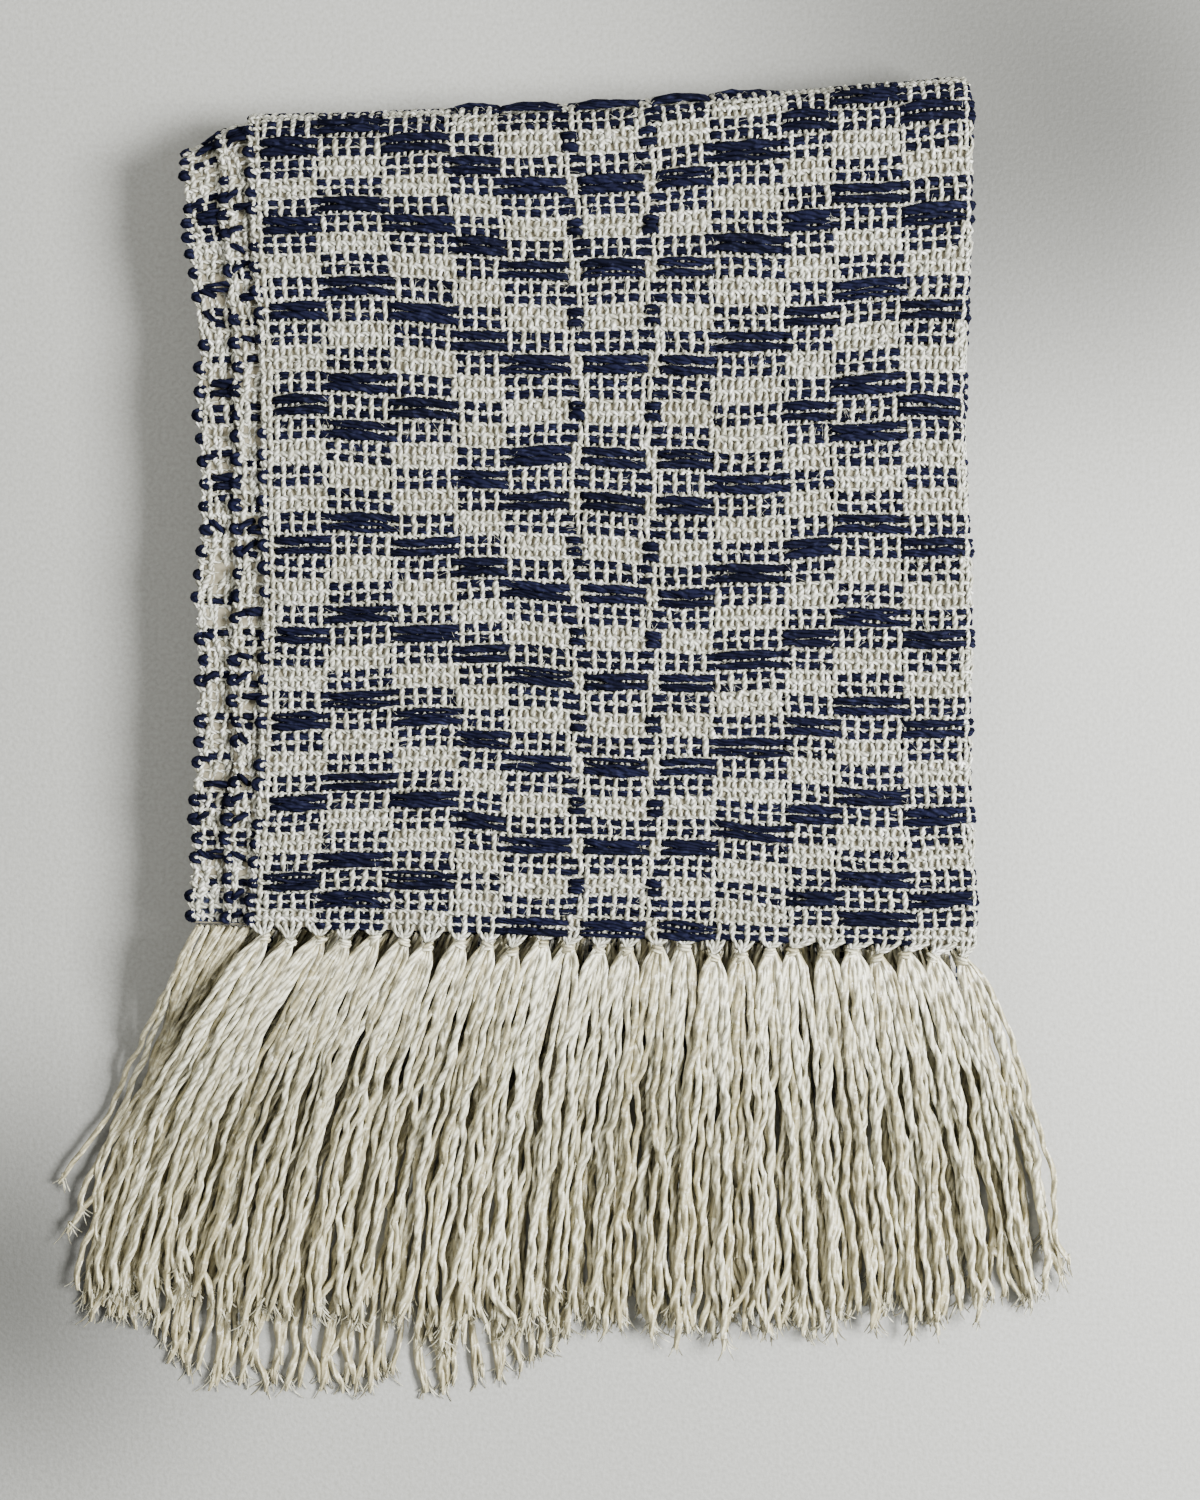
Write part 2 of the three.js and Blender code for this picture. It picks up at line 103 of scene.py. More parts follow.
def swellAt(x, y):
    # the pile sags towards its hem and its left side
    total = -3.4 * ease((hem + 90 - y) / 90) - 2 * ease((faceLeft + 60 - x) / 60)
    for sx, sy, reachX, reachY, height in pileSizes["swells"]:
        total = total + height * np.exp(-(((x - sx) / reachX) ** 2 + ((y - sy) / reachY) ** 2))
    return total


# Points of the pile and the way out of its surface there. along is counted from the hem over
# the rear fold, and depth from the top face down.
def onPile(x, along, depth):
    x, along, depth = together(x, along, depth)
    turn = np.clip((along - flat) / bend, 0, math.pi)
    back = np.maximum(along - bendEnd, 0)
    plainY = np.minimum(hem + along, bendY) + (bend - depth) * np.sin(turn) - back
    z = bend + (bend - depth) * np.cos(turn)
    share = (x - faceLeft) / faceWidth
    across = np.clip(share, 0, 1)
    # the rear edge runs back to the right and rounds its left corner, and the hem is askew
    rear = 13.4 * (1 - across ** 1.7) + 9 * ease((-116 - x) / 36)
    y = plainY - rear * ease((plainY - 85) / 65) - 7.5 * (share - 0.4) * ease((-40 - plainY) / 110)
    left = strayAt(plainY, 1)
    strayed = x + left + (strayAt(plainY, 2) - left) * across
    points = np.stack([strayed, y, z + swellAt(x, plainY) * (1 + np.cos(turn)) / 2], -1)
    out = np.stack([np.zeros_like(turn), np.sin(turn), np.cos(turn)], -1)
    return points, out


# Points of the top face, x across the flat cloth, which turns under at the right.
def onFace(x, along, height):
    x, along, height = together(x, along, height)
    # no end or pick runs quite straight
    x = x + 0.6 * np.sin(along / 31 + x / 70) + 0.35 * np.sin(along / 13 - x / 24)
    along = along + (1.2 * np.sin(x / 43 + along / 95 + 2) + 0.7 * np.sin(x / 17 - along / 37)
                     + 0.3 * np.sin(x / 7 + along / 19)) * ease(along / 14) * ease((bendEnd - along) / 20)
    # the yarn lies closer to the cloth where the rear fold comes down to the table
    nearEnd = 1 - np.clip((bendEnd - along) / bend, 0, 1) ** 2
    height = height * (1 - nearEnd) + np.minimum(height, 0) * nearEnd - nearEnd
    angle = np.clip((x - foldX) / foldRadius, 0, math.pi)
    under = np.maximum(x - foldX - math.pi * foldRadius, 0)
    reach = foldRadius + height
    acrossX = np.where(x <= foldX, x, foldX + reach * np.sin(angle) - under)
    depth = np.where(x <= foldX, -height, foldRadius - reach * np.cos(angle))
    points, out = onPile(acrossX, along, depth)
    # and the side fold is a little uneven
    points[..., 0] += (0.7 * np.sin(along / 19 + 1) + 0.6 * np.sin(along / 47)) * ease((x - 40) / 90)
    sideways = np.array([1.0, 0.0, 0.0])
    out = out * np.cos(angle)[..., None] + sideways * np.sin(angle)[..., None]
    return points, out


# Yarn as tubes in one mesh

roundShare = 0.9  # of a strand's step in u is the way round it


class Yarn:
    def __init__(self):
        self.points, self.faces, self.uvs, self.size, self.strands = [], [], [], 0, 0

    # One tube along the points. Its UV holds its own number plus the way round, and mm along.
    def add(self, points, out, wide, high, sides=5):
        count = len(points)
        along = np.gradient(points, axis=0)
        along /= np.linalg.norm(along, axis=1, keepdims=True) + 1e-9
        side = np.cross(along, out)
        side /= np.linalg.norm(side, axis=1, keepdims=True) + 1e-9
        up = np.cross(side, along)
        angle = np.arange(sides) / sides * 2 * math.pi + math.pi / 2
        flatWay = np.cos(angle)[None, :, None] * np.broadcast_to(wide, count)[:, None, None]
        highWay = np.sin(angle)[None, :, None] * np.broadcast_to(high, count)[:, None, None]
        ring = points[:, None] + side[:, None] * flatWay + up[:, None] * highWay
        i, j = np.meshgrid(np.arange(count - 1), np.arange(sides), indexing="ij")
        a, b = i * sides + j, i * sides + (j + 1) % sides
        self.faces.append((np.stack([a, a + sides, b + sides, b], -1).reshape(-1, 4)) + self.size)
        length = np.concatenate([[0], np.cumsum(np.linalg.norm(np.diff(points, axis=0), axis=1))])
        u0, u1 = self.strands + roundShare * j / sides, self.strands + roundShare * (j + 1) / sides
        v0, v1 = length[i], length[i + 1]
        corners = [np.stack(pair, -1) for pair in ((u0, v0), (u0, v1), (u1, v1), (u1, v0))]
        self.uvs.append(np.stack(corners, 2).reshape(-1, 2))
        self.points.append(ring.reshape(-1, 3))
        self.size += count * sides
        self.strands += 1

    def mesh(self, name, material, slot):
        return meshObject(name, np.concatenate(self.points), np.concatenate(self.faces),
                          np.concatenate(self.uvs), material)


def meshObject(name, points, faces, uvs, material):
    mesh = bpy.data.meshes.new(name)
    mesh.vertices.add(len(points))
    points[:, 2] = np.maximum(points[:, 2], 0.05)
    mesh.vertices.foreach_set("co", (points * 0.001).astype(np.float32).ravel())
    mesh.loops.add(4 * len(faces))
    mesh.loops.foreach_set("vertex_index", faces.astype(np.int32).ravel())
    mesh.polygons.add(len(faces))
    mesh.polygons.foreach_set("loop_start", np.arange(0, 4 * len(faces), 4, dtype=np.int32))
    mesh.polygons.foreach_set("use_smooth", np.ones(len(faces), dtype=bool))
    mesh.uv_layers.new(name="yarn").data.foreach_set("uv", uvs.astype(np.float32).ravel())
    mesh.update(calc_edges=True)
    mesh.materials.append(material)
    made = bpy.data.objects.new(name, mesh)
    bpy.context.scene.collection.objects.link(made)
    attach(made, "root")
    print(name, 2 * len(faces), "triangles")
    return made


# Materials

def linear(colour):
    channels = [int(colour[i:i + 2], 16) / 255 for i in (1, 3, 5)]
    return [c / 12.92 if c <= 0.04045 else ((c + 0.055) / 1.055) ** 2.4 for c in channels] + [1]


# A node with its settings: plain values, hex colours, and the nodes or sockets that feed it
def addNode(tree, kind, settings):
    node = tree.nodes.new("ShaderNode" + kind)
    for name, value in settings.items():
        if isinstance(value, bpy.types.Node):
            value = value.outputs[0]
        if isinstance(value, bpy.types.NodeSocket):
            tree.links.new(value, node.inputs[name])
        elif isinstance(name, str) and hasattr(node, name):
            setattr(node, name, value)
        else:
            node.inputs[name].default_value = linear(value) if isinstance(value, str) else value
    return node


def startMaterial(name, finish):
    material = bpy.data.materials.new(name)
    material.use_nodes = True
    tree = material.node_tree
    shader = tree.nodes["Principled BSDF"]
    for socket, value in finish.items():
        shader.inputs[socket].default_value = value
    return material, tree, shader


# Colour and relief of a finished material, its relief in mm
def coat(tree, shader, colour, height, strength, relief):
    bump = addNode(tree, "Bump", {"Strength": strength, "Distance": relief / 1000, "Height": height})
    tree.links.new(colour, shader.inputs["Base Color"])
    tree.links.new(bump.outputs[0], shader.inputs["Normal"])


# Plied wool: a tone for each strand, flecks along it, the twist of its plies, and painted shade in the
# grooves between them
def yarnMaterial(name, look):
    material, tree, shader = startMaterial(
        name, {"Roughness": look["rough"], "Specular IOR Level": look["gloss"]})
    uv = addNode(tree, "UVMap", {"uv_map": "yarn"})
    parts = addNode(tree, "SeparateXYZ", {0: uv})
    strand = addNode(tree, "Math", {"operation": "FLOOR", 0: parts})
    around = addNode(tree, "Math", {"operation": "FRACT", 0: parts})
    tone = addNode(tree, "TexWhiteNoise", {"noise_dimensions": "1D", "W": strand})
    # no two strands are twisted quite alike
    tightness = addNode(tree, "Math", {"operation": "MULTIPLY_ADD", 0: tone, 1: 0.6, 2: 0.7})
    turns = addNode(tree, "Math", {"operation": "DIVIDE", 0: parts.outputs[1], 1: look["twist"]})
    start = addNode(tree, "Math", {"operation": "MULTIPLY", 0: tone, 1: 37.0})
    plies = addNode(tree, "Math", {"operation": "MULTIPLY_ADD", 0: around, 1: 2 / roundShare, 2: start})
    phase = addNode(tree, "Math", {"operation": "MULTIPLY_ADD", 0: turns, 1: tightness, 2: plies})
    angle = addNode(tree, "Math", {"operation": "MULTIPLY", 0: phase, 1: 2 * math.pi})
    ply = addNode(tree, "Math", {"operation": "SINE", 0: angle})
    place = addNode(tree, "TexCoord", {}).outputs["Object"]
    flecks = addNode(tree, "TexNoise", {"Scale": 1000 / look["fleckSize"], "Detail": 3.0, "Vector": place})
    patches = addNode(tree, "TexNoise", {"Scale": 1000 / look["patchSize"], "Detail": 2.0, "Vector": place})
    patch = addNode(tree, "Math", {"operation": "MULTIPLY", 0: patches, 1: 1 - look["strandShare"]})
    share = addNode(tree, "Math", {"operation": "MULTIPLY_ADD", 0: tone, 1: look["strandShare"], 2: patch})
    fleck = addNode(tree, "MapRange", {0: flecks, 1: 0.52, 2: 0.72, 3: 0.0, 4: look["fleckShare"]})
    # painted shade: the grooves between the plies darken to the look's shade colour
    groove = addNode(tree, "MapRange", {0: ply, 1: -1.0, 2: -0.2, 3: look["groove"], 4: 0.0})
    tones = [(share, "light"), (fleck, "fleck"), (groove, "shade")]
    if "ends" in look:  # painted shade: the yarn turns darker towards its ends, from 55 to 150 mm, where the fringe slopes down away from the light
        endShade = addNode(tree, "MapRange", {0: parts.outputs[1], 1: 55.0, 2: 150.0, 3: 0.0, 4: look["ends"]})
        tones.append((endShade, "deep"))
    colour = look["deep"]
    for amount, over in tones:
        colour = addNode(tree, "Mix", {"data_type": "RGBA", 0: amount, 6: colour, 7: look[over]}).outputs[2]
    height = addNode(tree, "Math", {"operation": "MULTIPLY_ADD", 0: ply, 1: 0.5, 2: flecks})
    coat(tree, shader, colour, height, 0.7, look["relief"])
    return material


# Sizes of a look are mm: twist is a turn of the plies. Wool and cotton fibres are some 0.02 mm
# thick, too fine to show, so their flecks are drawn 2.4 mm apart and patches of tone 22 mm.

# handspun cotton and wool, woven into the ground: nearly white, a little warm in places. Its white flecks are
# partly pale fibres and partly painted highlight
creamLook = {"light": "#d0d2c6", "deep": "#8b8870", "fleck": "#fffffa", "shade": "#575242",
             "fleckShare": 0.95, "strandShare": 0.35, "groove": 0.75, "twist": 2.6,
             "fleckSize": 2.381, "patchSize": 22.22, "relief": 0.6, "rough": 0.45, "gloss": 0.8}
# softly spun pattern wool, dyed navy: dark and without gloss, with a dusty fibre here and there
navyLook = {"light": "#14162b", "deep": "#070811", "fleck": "#2b2e47", "shade": "#010207",
            "fleckShare": 0.5, "strandShare": 0.5, "groove": 0.8, "twist": 7.0,
            "fleckSize": 2.381, "patchSize": 22.22, "relief": 0.6, "rough": 0.9, "gloss": 0.04}
# the fringe is warp yarn doubled and twisted: its plies are plain to see, some of it straw-coloured; ends is
# painted shade towards the tips
fringeLook = {"light": "#ebe9d0", "deep": "#9d946e", "fleck": "#fffeea", "shade": "#6c6650",
              "fleckShare": 0.65, "strandShare": 0.9, "groove": 0.8, "twist": 8.5, "ends": 0.55,
              "fleckSize": 2.381, "patchSize": 22.22, "relief": 1.1, "rough": 0.4, "gloss": 0.9}
# painted shade: the strands beneath are the same yarn, darker and more yellow, as they lie in the shade of
# the upper ones
shadedFringeLook = {**fringeLook, "light": "#d7d2b3", "deep": "#99906d", "fleck": "#f1eed2"}
cream = yarnMaterial("handspun_cream_cotton_wool", creamLook)
navy = yarnMaterial("soft_spun_navy_wool", navyLook)
fringeYarn = yarnMaterial("plied_cream_fringe_yarn", fringeLook)
shadedFringeYarn = yarnMaterial("plied_cream_fringe_yarn_in_painted_shade", shadedFringeLook)

# woven cloth darkened with painted shade, as it shows dark and rough between the yarns, mottled 2 mm wide
shadowLook = {"navy": ("#040509", "#12141d"), "cream": ("#57513f", "#a09a86"), "mottle": 2.0, "relief": 0.3}
# the same overshot as a plain pattern, for layers that are seen edge on: cream with navy floats
# and dashes, and flecks drawn 2.5 mm apart as on the yarns
weaveLook = {"cream": ("#8e8a78", "#f0efe6"), "navy": ("#0b0f20", "#262d48"), "blockWidth": 19.0,
             "fleckSize": 2.5, "relief": 0.5}


def shadowCloth(name, tones):
    material, tree, shader = startMaterial(name, {"Roughness": 1.0, "Specular IOR Level": 0.05})
    place = addNode(tree, "TexCoord", {}).outputs["Object"]
    mottle = addNode(tree, "TexNoise", {"Scale": 1000 / shadowLook["mottle"], "Vector": place})
    colour = addNode(tree, "Mix", {"data_type": "RGBA", 0: mottle, 6: tones[0], 7: tones[1]})
    coat(tree, shader, colour.outputs[2], mottle, 0.4, shadowLook["relief"])
    return material


# UV holds mm across and along the cloth, so blocks and rows come out at their own sizes
def layerCloth(name, look):
    material, tree, shader = startMaterial(name, {"Roughness": 0.95, "Sheen Weight": 0.2,
                                                  "Specular IOR Level": 0.2})
    uv = addNode(tree, "UVMap", {"uv_map": "yarn"})
    parts = addNode(tree, "SeparateXYZ", {0: uv})
    across, along = parts.outputs[0], parts.outputs[1]
    end = addNode(tree, "Math", {"operation": "MULTIPLY", 0: across, 1: 2 * math.pi / warpPitch})
    pick = addNode(tree, "Math", {"operation": "MULTIPLY", 0: along, 1: 4 * math.pi / row})
    warp = addNode(tree, "Math", {"operation": "SINE", 0: end})
    weft = addNode(tree, "Math", {"operation": "SINE", 0: pick})
    column = addNode(tree, "Math", {"operation": "DIVIDE", 0: across, 1: look["blockWidth"]})
    columns = addNode(tree, "Math", {"operation": "FLOOR", 0: column})
    blockRow = addNode(tree, "Math", {"operation": "DIVIDE", 0: along, 1: row})
    rows = addNode(tree, "Math", {"operation": "FLOOR", 0: blockRow})
    both = addNode(tree, "Math", {"operation": "ADD", 0: columns, 1: rows})
    block = addNode(tree, "Math", {"operation": "MODULO", 0: both, 1: 4.0})
    floats = addNode(tree, "Math", {"operation": "LESS_THAN", 0: block, 1: 0.5})
    raised = addNode(tree, "Math", {"operation": "MULTIPLY", 0: block, 1: warp})
    dashes = addNode(tree, "Math", {"operation": "GREATER_THAN", 0: raised, 1: 0.6})
    pattern = addNode(tree, "Math", {"operation": "MAXIMUM", 0: floats, 1: dashes})
    shown = addNode(tree, "Math", {"operation": "GREATER_THAN", 0: weft, 1: -0.5})
    covered = addNode(tree, "Math", {"operation": "MULTIPLY", 0: pattern, 1: shown})
    place = addNode(tree, "TexCoord", {}).outputs["Object"]
    flecks = addNode(tree, "TexNoise", {"Scale": 1000 / look["fleckSize"], "Detail": 3.0, "Vector": place})
    light, dark = [addNode(tree, "Mix", {"data_type": "RGBA", 0: flecks, 6: deep, 7: pale}).outputs[2]
                   for deep, pale in (look["cream"], look["navy"])]
    colour = addNode(tree, "Mix", {"data_type": "RGBA", 0: covered, 6: light, 7: dark})
    height = addNode(tree, "Math", {"operation": "MULTIPLY_ADD", 0: warp, 1: weft, 2: flecks})
    coat(tree, shader, colour.outputs[2], height, 0.8, look["relief"])
    return material


shadow = shadowCloth("woven_navy_wool_in_shade", shadowLook["navy"])
paleShadow = shadowCloth("woven_cream_wool_in_shade", shadowLook["cream"])
weave = layerCloth("woven_overshot", weaveLook)
print("materials made")

# Camera: straight above the cloth, as the photo was taken

# place and sensor in mm, focal length and the picture's height in pixels
cameraLook = {"place": (3.6, -84.0, 740.0), "sensor": 24.0, "focal": 1961.0, "high": 1500}
camera = bpy.data.objects.new("camera", bpy.data.cameras.new("camera"))
camera.location = [c * 0.001 for c in cameraLook["place"]]
camera.data.sensor_fit = "VERTICAL"
camera.data.sensor_height = cameraLook["sensor"]
camera.data.lens = cameraLook["sensor"] * cameraLook["focal"] / cameraLook["high"]
bpy.context.scene.collection.objects.link(camera)
bpy.context.scene.camera = camera

# Weave of the top face

ends = [block for block, count in threading for _ in range(count)]
facePart = len(ends)
ends += ["B"] * 4  # the first ends beyond the side fold
endAt = faceLeft + warpPitch * (np.arange(len(ends)) + 0.5)


# How the pattern weft passes a warp end: float, over, under (both halftone) or hidden.
def stateOf(end, block, rowBlock):
    if block == "-":
        return "hidden"
    if block == rowBlock:
        return "float"
    if shafts[block][end % 2] in shafts[rowBlock]:
        return "over"
    return "under" if set(shafts[block]) & set(shafts[rowBlock]) else "hidden"


# mm over the surface, where the pattern weft does what is named
warpHeight = {"float": -1.7, "over": -1.7, "under": 0.1, "hidden": -0.7}
groundHeight = {"float": -1.9, "over": -0.55, "under": -0.55, "hidden": -0.35}


def drift(t, wave, seed):
    a, b, c = np.random.default_rng(seed).uniform(0, 2 * math.pi, 3)
    t = t / wave * 2 * math.pi
    return (np.sin(t + a) + 0.6 * np.sin(1.9 * t + b) + 0.35 * np.sin(4.3 * t + c)) / 1.6


# Thick and thin places of a hand-spun yarn.
def slubs(count, chance=0.05):
    size = rng.normal(1, 0.12, count)
    thick = np.convolve(rng.random(count) < chance, [0.35, 1, 0.6], "same")
    return np.clip(size + 0.38 * thick, 0.72, 1.5)


# One warp end through all the picks, with lead points before its first pick.
def warpEnd(yarn, end, blocks, x, rowShift, place, lead=None, loose=0.25, seed=0):
    along, height, wide = [], [], []
    for k in range(len(treadling)):
        state, after = [stateOf(end, blocks[end], treadling[(k + rowShift + step) % len(treadling)])
                        for step in (0, 1)]
        for pick in range(2):
            raised = -0.25
            if state == "float":
                raised = (-1.6, -0.9)[pick]
            elif after == "float" and pick:
                raised = -0.7
            along += [alongRow(k + patternAt[pick]), alongRow(k + groundAt[pick])]
            down = end % 2 != pick % 2
            height += [warpHeight[state], -1.6 if down else raised]
            wide += [{"under": 0.88, "hidden": 0.84}.get(state, 0.7), 0.7 if down else 0.92]
    along, height, wide = map(np.array, (along, height, wide))
    xs = x + loose * drift(along, 60, seed + end) + rng.normal(0, 0.22, len(along))
    height = height + rng.normal(0, 0.14, len(along))
    wide = wide * slubs(len(along))
    points, out = place(xs, along, height)
    if lead is not None:
        points = np.concatenate([lead, points])
        out = np.concatenate([np.tile([[0.0, 0.0, 1.0]], (len(lead), 1)), out])
        wide = np.concatenate([np.full(len(lead), 0.75), wide])
    yarn.add(points, out, wide, np.minimum(wide, 0.85) * 0.85)


# One ground pick: over the ends that are down, thin beside the pattern's floats.
def groundPick(yarn, k, pick, blocks, xs, rowShift, place, startX, seed=0):
    rows = [treadling[(k + rowShift + step) % len(treadling)] for step in (0, pick)]
    sizes = {"float": 0.5, "over": 0.62, "under": 0.62, "hidden": 1.0}
    wide = np.array([np.mean([sizes[stateOf(e, b, r)] for r in rows]) for e, b in enumerate(blocks)])
    high = np.array([np.mean([groundHeight[stateOf(e, b, r)] for r in rows]) for e, b in enumerate(blocks)])
    over = np.array([e % 2 != pick % 2 for e in range(len(blocks))])
    height = np.where(over, high, -1.5) + rng.normal(0, 0.17, len(blocks))
    along = alongRow(k + groundAt[pick]) + 0.4 * drift(xs, 45, seed + 2 * k + pick) \
        + rng.normal(0, 0.24, len(xs))
    wide = wide * np.where(over, 1.1, 0.9) * slubs(len(xs), 0.04)
    xs = np.concatenate([[startX], xs])
    height = np.concatenate([[-0.8], height])
    along = np.concatenate([[along[0] + (1.0 if pick else -1.0)], along])
    wide = np.concatenate([[0.7], wide])
    points, out = place(xs, along, height)
    yarn.add(points, out, wide, np.minimum(wide, 0.85) * 0.9, 4)


# The stretches of a pattern pick that show: x, height and how far into a float, 0 to 1.
def patternRuns(blocks, rowBlock, xs):
    runs, run = [], []
    states = [stateOf(end, block, rowBlock) for end, block in enumerate(blocks)]
    for e, state in enumerate(states):
        x = xs[e]
        if state == "hidden":
            if run:
                run.append((x - 0.5, -1.6, 0.0))
                runs.append(run)
                run = []
            continue
        if not run:
            run.append((x - 1.9, -1.5, 0.0))
        if state == "float":
            first, last = e, e
            while first and states[first - 1] == "float":
                first -= 1
            while last + 1 < len(states) and states[last + 1] == "float":
                last += 1
            bulge = math.sin(math.pi * (e - first + 0.7) / (last - first + 1.4))
            if e == first:
                run.append((x - 1.1, -0.4, 0.0))
            run.append((x, 0.1 + 0.55 * bulge, bulge))
            if e == last:
                run.append((x + 1.1, -0.4, 0.0))
        elif state == "over":
            run += [(x - 0.95, -0.15, 0.0), (x + 0.95, -0.15, 0.0)]
        else:
            run.append((x, -1.4, 0.0))
    if run:
        runs.append(run)
    return runs


# plies of the pattern yarn: mm apart and thick, how much they swell, and the share of loose floats
patternYarn = {"apart": 0.52, "size": 0.72, "swell": 0.36, "loose": 0.14}


# One pattern pick: two soft plies side by side, which swell and cross over in a float.
def patternPick(yarns, k, pick, blocks, xs, rowShift, place, seed=0):
    beat = float(alongRow(k + 1) - alongRow(k)) / row
    for number, run in enumerate(patternRuns(blocks, treadling[(k + rowShift) % len(treadling)], xs)):
        x, height, bulge = np.array(run).T
        lean = (0.5 - pick) * (bulge > 0) * rng.uniform(0.1, 1.0)
        along = alongRow(k + patternAt[pick]) + lean + 0.35 * drift(x, 44, seed + 900 + 2 * k + pick)
        rock = 1.15 * drift(x, 30, seed + 5000 + 40 * k + 3 * pick + number)
        opened = rng.random() < patternYarn["loose"]
        apart = patternYarn["apart"] * beat + bulge * (0.8 if opened else rng.uniform(-0.05, 0.22))
        full = 0.8 if opened else rng.uniform(0.9, 1.12)
        for ply, yarn in zip((-1, 1), yarns):
            offset = apart * ply * np.cos(rock * (bulge > 0.1)) * rng.uniform(0.9, 1.1)
            rise = (0.55 * ply * np.sin(rock) + rng.uniform(0, 0.4)) * bulge
            points, out = place(x, along + offset + rng.normal(0, 0.09, len(x)),
                                height + rise + rng.normal(0, 0.07, len(x)))
            size = patternYarn["size"] * beat + patternYarn["swell"] * bulge
            size = size * full * slubs(len(x), 0.03)
            size[[0, -1]] *= 0.7
            yarn.add(points, out, size, size * 0.8)


# how far the knots lie in front of the hem and below the top face, and how far each strays
knotSizes = {"tassels": 26, "reach": 3.4, "depth": 0.9, "stray": [1.3, 1.9, 0.3],
             "turns": 2, "radius": (1.5, 1.9), "wide": 0.9, "high": 0.75}
tassels = knotSizes["tassels"]


def knotPoint(tassel):
    x = faceLeft + (tassel + 0.5) * faceWidth / tassels
    points, _ = onPile(x, -knotSizes["reach"], knotSizes["depth"])
    return points + np.random.default_rng(300 + tassel).uniform(-1, 1, 3) * knotSizes["stray"]


warpYarn = Yarn()
for end in range(len(ends)):
    tassel = min(end * tassels // facePart, tassels - 1)
    knot = knotPoint(tassel)
    first, _ = onFace(endAt[end], 0.4, -0.5)
    lead = [knot, knot * 0.8 + first * 0.2 + [0, 0, 0.3], knot * 0.35 + first * 0.65 + [0, 0, 0.25]]
    warpEnd(warpYarn, end, ends, endAt[end], 0, onFace, np.array(lead) if end < facePart else None)
topWarp = warpYarn.mesh("top_warp_ends", cream, "ground_weave")

groundYarn = Yarn()
patternYarns = (Yarn(), Yarn())
for k in range(len(treadling)):
    for pick in range(2):
        groundPick(groundYarn, k, pick, ends, endAt, 0, onFace, faceLeft + 0.2)
        patternPick(patternYarns, k, pick, ends, endAt, 0, onFace)
topGround = groundYarn.mesh("top_ground_picks", cream, "ground_weave")
topPattern = [yarn.mesh("top_pattern_ply_" + side, navy, "pattern_weft")
              for yarn, side in zip(patternYarns, ("front", "back"))]

# wool fibres that stand off the face and its edges
fuzz = {"cream": Yarn(), "navy": Yarn()}
fuzzCounts = {"cream": 1900, "navy": 1000}


def hair(yarn, x, along, length, lift, turn):
    s = np.array([0, 0.5, 1.0])
    swing = rng.normal(0, 0.5)
    points, out = onFace(x + length * s * math.cos(turn) + swing * s ** 2,
                         along + length * s * math.sin(turn) - swing * s ** 2,
                         0.1 + lift * np.sin(s * rng.uniform(1.6, 3.0)))
    yarn.add(points, out, 0.12 * (1 - 0.5 * s), 0.1 * (1 - 0.5 * s), 3)


for _ in range(fuzzCounts["cream"]):
    hair(fuzz["cream"], rng.uniform(faceLeft + 2, foldX + 3), rng.uniform(2, bendEnd - 14),
         rng.uniform(1.8, 4.5), rng.uniform(0.3, 1.3), rng.uniform(0, 2 * math.pi))
floatCells = [(e, k) for k in range(38) for e, block in enumerate(ends) if block == treadling[k]]
for e, k in rng.permutation(floatCells)[:fuzzCounts["navy"]]:
    hair(fuzz["navy"], endAt[e] + rng.normal(0, 1), float(alongRow(k)) + rng.uniform(0, 6.5),
         rng.uniform(2, 5), rng.uniform(0.3, 1.2), rng.choice([0, math.pi]) + rng.normal(0, 0.5))
faceFuzz = [fuzz["cream"].mesh("top_cream_fibres", cream, "ground_weave"),
            fuzz["navy"].mesh("top_navy_fibres", navy, "pattern_weft")]
print("top face woven")

# The thin cloth under the yarn of the top face

baseCloth = {"top": 1.5, "thick": 0.6, "return": 9.0}


# A closed thin shell over a grid of the cloth. Its first faces are the grid's, row by row.
def shell(name, xs, alongs, place, top, thick, material):
    grid = np.meshgrid(xs, alongs, indexing="ij")
    sheets = [place(*grid, -depth)[0] for depth in (top, top + thick)]
    rows, columns = grid[0].shape
    points = np.concatenate([sheet.reshape(-1, 3) for sheet in sheets])
    index = np.arange(rows * columns).reshape(rows, columns)
    quads = np.stack([index[:-1, :-1], index[1:, :-1], index[1:, 1:], index[:-1, 1:]], -1).reshape(-1, 4)
    below = quads[:, ::-1] + rows * columns
    rim = np.concatenate([index[:, 0], index[-1, 1:], index[-2::-1, -1], index[0, -2:0:-1]])
    after = np.roll(rim, -1)
    walls = np.stack([after, rim, rim + rows * columns, after + rows * columns], -1)
    faces = np.concatenate([quads, below, walls])
    flatUv = np.concatenate([np.stack(grid, -1).reshape(-1, 2)] * 2)
    return meshObject(name, points, faces, flatUv[faces.ravel()], material)


foldLength = math.pi * foldRadius
columnXs, columnBlocks = [faceLeft + 0.6], []
right = faceLeft
for block, count in threading[:-1]:
    right += count * warpPitch
    pieces = max(1, round(count * warpPitch / 5))
    columnXs += list(np.linspace(columnXs[-1], right, pieces + 1)[1:])
    columnBlocks += [block] * pieces
foldXs = foldX + foldLength * np.linspace(0.1, 1, 8)
faceXs = np.array(columnXs + list(foldXs) + [foldXs[-1] + 4, foldXs[-1] + baseCloth["return"]])
columnBlocks += ["B"] * (len(faceXs) - 1 - len(columnBlocks))
faceAlongs = alongRow(np.arange(0, len(treadling), 0.5))
inside = (faceAlongs > 1) & (faceAlongs < bendEnd - 1)
faceAlongs = np.concatenate([[0.3], faceAlongs[inside], [bendEnd - 0.3]])
base = shell("top_width_cloth", faceXs, faceAlongs, onFace, baseCloth["top"], baseCloth["thick"],
             shadow)
base.data.materials.append(paleShadow)
